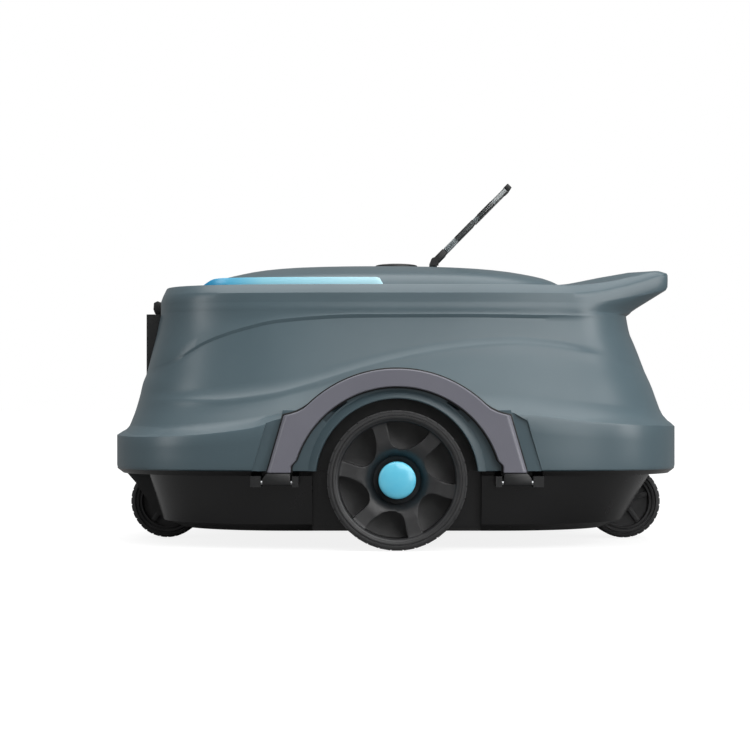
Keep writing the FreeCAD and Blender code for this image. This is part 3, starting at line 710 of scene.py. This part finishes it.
def makeFender(name, side):
    # the boss behind a latch: foot, shoulder and arch, with the arch opening and two finger slots
    look = fender
    start = math.degrees(math.atan2(look["shoulder"][1] - look["middle"][1], look["shoulder"][0]))
    arch = arcPoints(look["middle"], look["radius"], start, 180 - start, look["archPoints"])
    right = [look["foot"], look["corner"]]
    outline = right + arch + [(-x, z) for x, z in reversed(right)]
    piece = outlinePlate("fender" + name.capitalize(), outline, side * look["near"], side * look["face"])
    cutWith(piece, barrelPiece("archTool", archTool["radius"], archTool["axle"],
                               *(side * y for y in look["archSpan"])))
    for middle in (look["slotAngle"], 180 - look["slotAngle"]):
        near, far = look["slotRadii"]
        sweep = (middle - look["slotSweep"], middle + look["slotSweep"])
        slot = (arcPoints(archTool["axle"], near, *sweep, look["slotPoints"])
                + arcPoints(archTool["axle"], far, *reversed(sweep), look["slotPoints"]))
        cutWith(piece, outlinePlate("slotTool", slot, *(side * y for y in look["slotSpan"])))
    softenEdges(piece, look["edge"], segments=3)
    finishPiece(piece, "cover", shellAbs, even=True)


latch = {
    "crest": (0, 37.4), "crestRadius": 89.6, "inside": (0, 40), "insideRadius": 74.5,
    "shoulderHigh": 101.5, "insideLow": 62.5,
    "leg": [(66, 98.8), (70, 96.8), (74.5, 95.3), (79.6, 94.2), (91.4, 53.8), (74.6, 53.8), (74.6, 58.7)],
    "outsideCorners": 5, "topCorners": 4,     # of the leg, for a larger outline
    "foot": [(75, 53.6), (91.6, 53.6), (94.6, 49.8), (94.6, 45.2), (74.6, 45.2)], "footFace": 173.6,
    "near": 168.3, "face": 174.3, "edge": 0.9, "arcPoints": 61,
    "facet": 2.2, "facetLow": 53, "facetHigh": 95, "facetOutside": 79, "onFace": 0.05,
}


def latchOutline(grow=0.0):
    # outline of a latch in XZ, or a larger one for the black band of painted shade round it
    look = latch
    outer, inner = look["crestRadius"] + grow, look["insideRadius"] - grow
    high, low = look["shoulderHigh"] + grow, look["insideLow"]
    first = math.degrees(math.asin((high - look["crest"][1]) / outer))
    last = math.degrees(math.asin((low - look["inside"][1]) / inner))
    leg = [(x + (grow if i < look["outsideCorners"] else -grow), z + (grow if i < look["topCorners"] else 0))
           for i, (x, z) in enumerate(look["leg"])]
    crest = arcPoints(look["crest"], outer, first, 180 - first, look["arcPoints"])
    inside = arcPoints(look["inside"], inner, 180 - last, last, look["arcPoints"])
    return leg[::-1] + crest + [(-x, z) for x, z in leg] + inside


def makeLatch(name, side):
    look = latch
    piece = outlinePlate("latch" + name.capitalize(), latchOutline(), side * look["near"],
                         side * look["face"])

    def onLegEdge(item):
        ends = [piece.data.vertices[i].co / mm for i in item.vertices]
        return all(abs(abs(end.y) - look["face"]) < look["onFace"] and abs(end.x) > look["facetOutside"]
                   and look["facetLow"] < end.z < look["facetHigh"] for end in ends)

    choose(piece, "EDGE", onLegEdge)
    bpy.ops.mesh.bevel(offset=look["facet"] * mm, segments=1)
    objectMode()
    softenEdges(piece, look["edge"], segments=3, angle=30)
    finishPiece(piece, "latch_" + name, latchAbs, ("latch_" + name,), even=True)
    feet = []
    for end in (-1, 1):
        foot = outlinePlate("latchFoot" + name.capitalize(), [(end * x, z) for x, z in look["foot"]],
                            side * look["near"], side * look["footFace"])
        softenEdges(foot, look["edge"])
        feet.append(foot)
    finishPiece(joinPieces(feet), "latch_" + name, blackNylon)


# black band round each latch: painted shade for the shadow gap round it
shadeLine = {"grow": 1.1, "foot": 53, "near": 163.4, "face": 166.6, "edge": 0.4}


def makeLatchShadeLine(name, side):
    # thin black band behind the latch's edge, which the latch closes on: painted shade, standing in for the
    # shadow in the gap, that shows as a dark line round the latch
    outline = [(x, z) for x, z in latchOutline(shadeLine["grow"]) if z > shadeLine["foot"]]
    piece = outlinePlate("latchShadeLine" + name.capitalize(), outline, side * shadeLine["near"],
                         side * shadeLine["face"])
    softenEdges(piece, shadeLine["edge"])
    finishPiece(piece, "cover", sealRubber)


ringTrim = {
    # closed sections: radius and distance from the middle of the cleaner
    "ring": [(57.1, 149.2), (59.4, 149.2), (59.4, 164.6), (63.4, 164.7), (63.5, 165.0), (63, 165.6),
             (58.2, 167.6), (57.5, 167.6), (57.1, 167.1)],
    # thin black sheet at the inner end of the arch: painted shade for the shadow inside the arch round the tyre
    "shadeSheet": [(46, 149), (58, 149), (58, 149.8), (46, 149.8)],
    "below": ((-80, -200, -20), (80, 200, 55)),     # the skirt's foot, where both end
}


def archPart(title, section, side, steps):
    rows = [(radius, side * along) for radius, along in section]
    piece = spunRing(title, rows, "Y", (0, 0, archTool["axle"][1]), steps)
    cutWith(piece, blockPiece("footTool", *ringTrim["below"]))
    return piece


def makeArchRing(name, side):
    # liner tube of the wheel arch with the ring that stands out in front of it, and behind them a thin black
    # sheet in the gap round the tyre: painted shade, standing in for the shadow inside the arch
    ring = archPart("archRing" + name.capitalize(), ringTrim["ring"], side, 160)
    finishPiece(ring, "cover", shellAbs, ("arch_liner_" + name,), smooth=12)
    # thin black sheet: painted shade inside the arch
    shadeSheet = archPart("archShadeSheet" + name.capitalize(), ringTrim["shadeSheet"], side, 120)
    finishPiece(shadeSheet, "cover", blackNylon)


for name, side in sides:
    makeFender(name, side)
    makeLatchShadeLine(name, side)
    makeLatch(name, side)
    makeArchRing(name, side)
print("fenders, arch rings and latches made")

wheel = {
    "axle": (0, 0, 49),
    # closed section of the wheel: radius and distance from the middle of the cleaner
    "section": [(5.1, 150), (17, 150), (17, 157.6), (19, 158.2), (39.5, 158.2), (41, 157.2), (41, 150),
                (45.4, 150), (45.4, 184.1), (44.6, 184.3), (43.2, 183.9), (42.9, 183.2), (41.8, 182.8),
                (41.1, 181.4), (40.6, 180.6), (38.4, 180.0), (30, 180.4), (23, 179.2), (19.5, 176.4),
                (17.4, 173), (16.6, 168.6), (13.4, 168.2), (13.4, 167), (5.1, 167)],
    # one pocket between two spokes, seen from outside, about the axle
    "pocket": [(-7.9, 40.2), (-6.3, 34.5), (-5.5, 29.5), (-4.6, 26.2), (-2.4, 23.4), (1.2, 21.6), (5.5, 21.3),
               (10, 22.5), (14.6, 25.1), (18.8, 28.6), (22.2, 32.4)],
    "pocketRim": (40.9, 56.6, 100), "pocketRimPoints": 12,     # its outer side: radius, first and last angle
    "pocketFloor": 162.4, "pocketOut": 190, "pockets": 6, "edge": 0.7,
    "tyre": [(45.5, 150.8), (46.2, 150.2), (47.4, 150.3), (48.5, 151.6), (48.5, 183.2), (47.9, 184.4),
             (46.8, 184.8), (45.5, 184.6)],
    # tread bars: low and top are radii, the top is tapered, and their middle leans ahead of their ends
    "treadBars": 36, "treadLow": 47.8, "treadTop": 48.85, "treadUpper": 48.5, "treadHalf": 3.85,
    "treadSides": (150.1, 184.9), "treadTaper": (0.94, 0.985, 1), "treadLean": 1.2, "nearMiddle": 0.1,
    "cap": [(0.02, 167.4), (12.9, 167.4), (13.1, 167.8), (13.1, 181.9), (12.7, 182.9), (11.6, 183.6),
            (9.2, 184.2), (6, 184.7), (3, 184.95), (0.02, 185)],
}


def makeWheel(name, side):
    look = wheel
    title = name.capitalize()
    piece = spunRing("wheel" + title, [(r, side * y) for r, y in look["section"]], "Y", look["axle"], steps=144)
    rim = arcPoints((0, 0), *look["pocketRim"], look["pocketRimPoints"])
    outline = [(-side * x, z + look["axle"][2]) for x, z in look["pocket"] + rim]
    pocket = outlinePlate("pocketTool", outline, side * look["pocketFloor"], side * look["pocketOut"])
    cutWith(piece, turnedCopies(pocket, look["pockets"], "Y", look["axle"]))
    softenEdges(piece, look["edge"], angle=40)
    finishPiece(piece, "wheel_" + name, wheelNylon,
                ("wheel_" + name, "wheel_spokes_" + name))

    tyre = spunRing("tyre" + title, [(r, side * y) for r, y in look["tyre"]], "Y", look["axle"], steps=132)
    near, far = look["treadSides"]
    middle = (near + far) / 2 * mm
    bar = blockPiece("treadBar", (-look["treadHalf"], near, look["treadLow"]),
                     (look["treadHalf"], far, look["treadTop"]))
    choose(bar, "VERT", lambda item: item.co.z > look["treadUpper"] * mm)
    bpy.ops.transform.resize(value=look["treadTaper"], center_override=(0, middle, look["treadTop"] * mm))
    choose(bar, "EDGE", lambda item: True)
    bpy.ops.mesh.bisect(plane_co=(0, middle, 0), plane_no=(0, 1, 0))
    objectMode()
    choose(bar, "VERT", lambda item: abs(item.co.y - middle) < look["nearMiddle"] * mm)
    bpy.ops.transform.translate(value=(look["treadLean"] * mm, 0, 0))
    objectMode()
    for vertex in bar.data.vertices:
        vertex.co.z += look["axle"][2] * mm
        vertex.co.y *= side
    cleanUp(bar)
    tyre = joinPieces([tyre, turnedCopies(bar, look["treadBars"], "Y", look["axle"])])
    finishPiece(tyre, "wheel_" + name, tyreRubber, ("tyre_" + name,))

    cap = spunRing("hubCap" + title, [(r, side * y) for r, y in look["cap"]], "Y", look["axle"], steps=72)
    finishPiece(cap, "wheel_" + name, hubBlueAbs, ("hub_cap_" + name,), smooth=50)


for name, side in sides:
    makeWheel(name, side)
print("wheels made")

endRoller = {
    "height": 28, "radius": 28,
    # section of a roller's ring from its inner edge outwards, as radius and depth below its side face
    "face": [(19, 1.2), (19.6, 0.4), (20.6, 0.4), (20.9, 1.3), (21.7, 1.3), (22, 0.2), (23.4, 0), (23.7, 1.1),
             (24.5, 1.1), (24.8, 0), (26.4, 0.2), (27.4, 0.8), (27.9, 1.8)],
    "hub": [(3.1, 0.2), (6.4, 0.2), (7, 0.9)], "web": [(6, 3.2), (19.8, 3.2)],
    "spokes": 5, "spokeHalf": 2.0, "spokeBack": 1.8, "spokeReach": (6.2, 19.6), "edge": 0.5,
    "treadCuts": 30, "treadHalf": 0.8, "treadFloor": 0.6, "treadDepth": 0.8, "treadTop": 60, "treadOver": 2,
}


def ringSection(rows, low, high):
    # closed section from the same rows on both side faces
    return [(r, low + d) for r, d in rows] + [(r, high - d) for r, d in reversed(rows)]


def makeRoller(title, place, spans, body, node):
    look = endRoller
    parts = []
    centre = (place, 0, look["height"])
    wide, narrow = look["treadHalf"], look["treadHalf"] * look["treadFloor"]
    bottom = look["height"] + look["radius"] - look["treadDepth"]
    groove = [(place - wide, look["treadTop"]), (place - narrow, bottom), (place + narrow, bottom),
              (place + wide, look["treadTop"])]
    for low, high in spans:
        ring = spunRing("ring", ringSection(look["face"], low, high), "Y", centre, steps=90)
        notch = outlinePlate("notchTool", groove, low - look["treadOver"], high + look["treadOver"])
        cutWith(ring, turnedCopies(notch, look["treadCuts"], "Y", centre))
        hub = spunRing("hub", ringSection(look["hub"], low, high), "Y", centre, steps=40)
        web = spunRing("web", ringSection(look["web"], low, high), "Y", centre, steps=60)
        start, end = (look["height"] + reach for reach in look["spokeReach"])
        spoke = blockPiece("spoke", (place - look["spokeHalf"], low + look["spokeBack"], start),
                           (place + look["spokeHalf"], high - look["spokeBack"], end))
        softenEdges(spoke, look["edge"])
        parts += [ring, hub, web, turnedCopies(spoke, look["spokes"], "Y", centre)]
    roller = joinPieces(parts)
    roller.name = title
    finishPiece(roller, body, tyreRubber, (node,))


gusset = {"outline": [(-206, 50.4), (-190, 50.4), (-184, 33), (-187, 32), (-197, 40)],
          "near": 13.9, "far": 17.2, "edge": 0.5}
plates = []
for _, side in sides:
    plates.append(outlinePlate("forkGusset", gusset["outline"], side * gusset["near"], side * gusset["far"]))
    softenEdges(plates[-1], gusset["edge"])
finishPiece(joinPieces(plates), "base", blackNylon)
makeRoller("frontRoller", -175, [(-13, 13)], "front_roller", "front_roller")
makeRoller("rearRollers", 175, [(4.5, 18), (-18, -4.5)], "rear_rollers", "rear_rollers")
print("rollers made")

# blocks of the fin: from and to along it, below and above its middle plane, half width, edge
fin = {
    "root": (30.0, 211.4), "lean": 45.3,
    "blade": (10.5, 78.3, -1.5, 1.5, 20.6, 0.3),
    "edges": [(45.5, 77.6, -1.95, -1.55, 20.9, 0.1), (45.5, 77.6, 1.55, 1.8, 20.9, 0.1)],
    "window": (42.5, 76, -4, 4, 19.4, 0.1),
    "stretches": [
        ("finClamp", (-2.4, 11.5, -2.5, 2.4, 21, 0.6), blackNylon, "dark_plastic", ("fin_sleeve",)),
        ("finFloatLow", (12.2, 23.7, -2.0, 2.1, 20.4, 0.4), greyPolypropylene, "inner_plastic", ()),
        ("finCore", (23.7, 43, -1.9, 2.2, 20.4, 0.4), blackNylon, "dark_plastic", ()),
        ("finFloatHigh", (43, 48.3, -0.6, 1.9, 20, 0.3), greyPolypropylene, "inner_plastic", ()),
        ("finWeight", (48.3, 63, -0.5, 2.1, 19.4, 0.4), blackNylon, "dark_plastic", ()),
        ("finStop", (63, 66, -0.4, 1.9, 18.6, 0.3), greyPolypropylene, "inner_plastic", ()),
        ("finTipCap", (77.3, 81.9, -2.25, 2.25, 21, 0.6), blackNylon, "dark_plastic", ("fin_tip",)),
    ],
}


def finBlock(name, size):
    start, end, below, above, half, edge = size
    lean = math.radians(fin["lean"])
    outline = [(fin["root"][0] + along * math.cos(lean) - up * math.sin(lean),
                fin["root"][1] + along * math.sin(lean) + up * math.cos(lean))
               for along, up in ((start, below), (end, below), (end, above), (start, above))]
    piece = outlinePlate(name, outline, -half, half)
    softenEdges(piece, edge)
    return piece


for name, size, material, slot, replaced in fin["stretches"]:
    finishPiece(finBlock(name, size), "fin", material, replaced)
finishPiece(finBlock("finBlade", fin["blade"]), "fin", clearPolycarbonate, ("fin_blade",))
trims = [finBlock("finEdges", size) for size in fin["edges"]]
for trim in trims:      # frames round the clear part
    cutWith(trim, finBlock("windowTool", fin["window"]))
finishPiece(joinPieces(trims), "fin", blackNylon)
print("fin made")

buttonSection = [(0.02, 203.6), (16.3, 203.6), (16.4, 208.6), (15.9, 209.4), (14.4, 209.9), (12.2, 210.2),
                 (12, 209.6), (11.2, 209.6), (11, 210.3), (8, 210.55), (4, 210.68), (0.02, 210.7)]
knob = spunRing("powerButton", buttonSection, "Z", lid["buttonPlace"], steps=72)
finishPiece(knob, "button", blackNylon, ("power_button",))

frontHook = {"outline": [(-176, 171.4), (-184.2, 171.4), (-185.6, 175), (-185.2, 180), (-182.4, 181.4),
                         (-176, 179)], "half": 15, "edge": 0.5}
hook = outlinePlate("frontHook", frontHook["outline"], -frontHook["half"], frontHook["half"])
softenEdges(hook, frontHook["edge"])
finishPiece(hook, "cover", blackNylon)
print("button and front hook made")

strip = {"front": -144, "rear": -9.8, "pieces": 56, "plan": (160, 112.2), "squareness": 3.8, "low": 188.4,
         "top": [(-144, 188.9), (-133.5, 194.2), (-127, 194.7), (-14.5, 194.7), (-10.6, 193), (-9.8, 190)],
         "width": 9, "edge": 0.35}


def makeStrip(side):
    # light strip that follows the edge of the lid, pointed at its nose
    look = strip
    deselectAll()
    bpy.ops.mesh.primitive_grid_add(x_subdivisions=look["pieces"], y_subdivisions=1, size=2)
    piece = startPiece("lightStrip")
    for vertex in piece.data.vertices:
        x = mix(look["front"], look["rear"], (vertex.co.x + 1) / 2)
        top = vertex.co.y > 0
        reach, half = look["plan"]
        y = half * (1 - abs(x / reach) ** look["squareness"]) ** (1 / look["squareness"])
        vertex.co = (x * mm, side * y * mm, (smoothCurve(look["top"], x) if top else look["low"]) * mm)
    choose(piece, "FACE", lambda item: True)
    bpy.ops.mesh.extrude_region_move(TRANSFORM_OT_translate={"value": (0, -side * look["width"] * mm, 0)})
    objectMode()
    cleanUp(piece)
    softenEdges(piece, look["edge"], angle=40)
    return piece


strips = joinPieces([makeStrip(side) for _, side in sides])
finishPiece(strips, "cover", stripBlue, ("accent_strips",))
print("light strips made")

# finishes of the CAD nodes that stay as they are
nodeFinishes = [
    (hullAbs, ["base_hull", "well_panels"]),
    (blackNylon, ["latch_ears", "nozzle_frame", "nozzle_grille", "fin_bracket", "front_fork", "rear_strut",
                  "inlet_frame", "drive_housing_left", "drive_housing_right", "control_box",
                  "charge_socket", "pump_tube"]),
    (wheelNylon, ["wheel_gear_left", "wheel_gear_right"]),
    (sealRubber, ["cover_gasket", "button_boot", "inlet_flap", "shaft_seal", "charge_plug"]),
    (greyPolypropylene, ["outlet_duct", "filter_basket", "impeller", "battery_pack"]),
    (stainlessSteel, ["housing_screws", "latch_pins", "fin_pin", "axle_left", "axle_right", "roller_pins",
                      "pump_motor", "drive_motors"]),
    (brass, ["wheel_bushes", "drive_pinion_left", "drive_pinion_right"]),
    (meshCloth, ["filter_mesh"]),
    (circuitBoard, ["control_board"]),
]
for material, names in nodeFinishes:
    for name in names:
        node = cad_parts[name]
        if not node.material_slots:
            node.data.materials.append(material)
        for slot in node.material_slots:
            slot.material = material
print("finishes given to the CAD nodes")


paper = {"size": 80, "height": -0.0005, "fibreMm": 1.111111, "fibreDepthMm": 0.1}   # the first two in metres


def makeFloor():
    # pale matt paper that looks as white to the camera as the world behind it
    deselectAll()
    bpy.ops.mesh.primitive_plane_add(size=paper["size"], location=(0, 0, paper["height"]))
    floor = startPiece("studioFloor")
    made, tree, where = startMaterial("paleStudioPaper")
    fibre = addNode(tree, "ShaderNodeTexNoise", {"Scale": 1 / (paper["fibreMm"] * mm), "Detail": 2.0}, where)
    bump = addNode(tree, "ShaderNodeBump", {"Strength": 0.02, "Distance": paper["fibreDepthMm"] * mm},
                   {"Height": (fibre, "Fac")})
    path = addNode(tree, "ShaderNodeLightPath")
    shader = addNode(tree, "ShaderNodeBsdfPrincipled",
                     {"Base Color": toLinear("#757575"), "Roughness": 0.9,
                      "Emission Color": (0.86, 0.86, 0.86, 1)},
                     {"Normal": (bump, "Normal"), "Emission Strength": (path, "Is Camera Ray")})
    endMaterial(tree, shader)
    floor.data.materials.append(made)


makeFloor()
makeWorld()
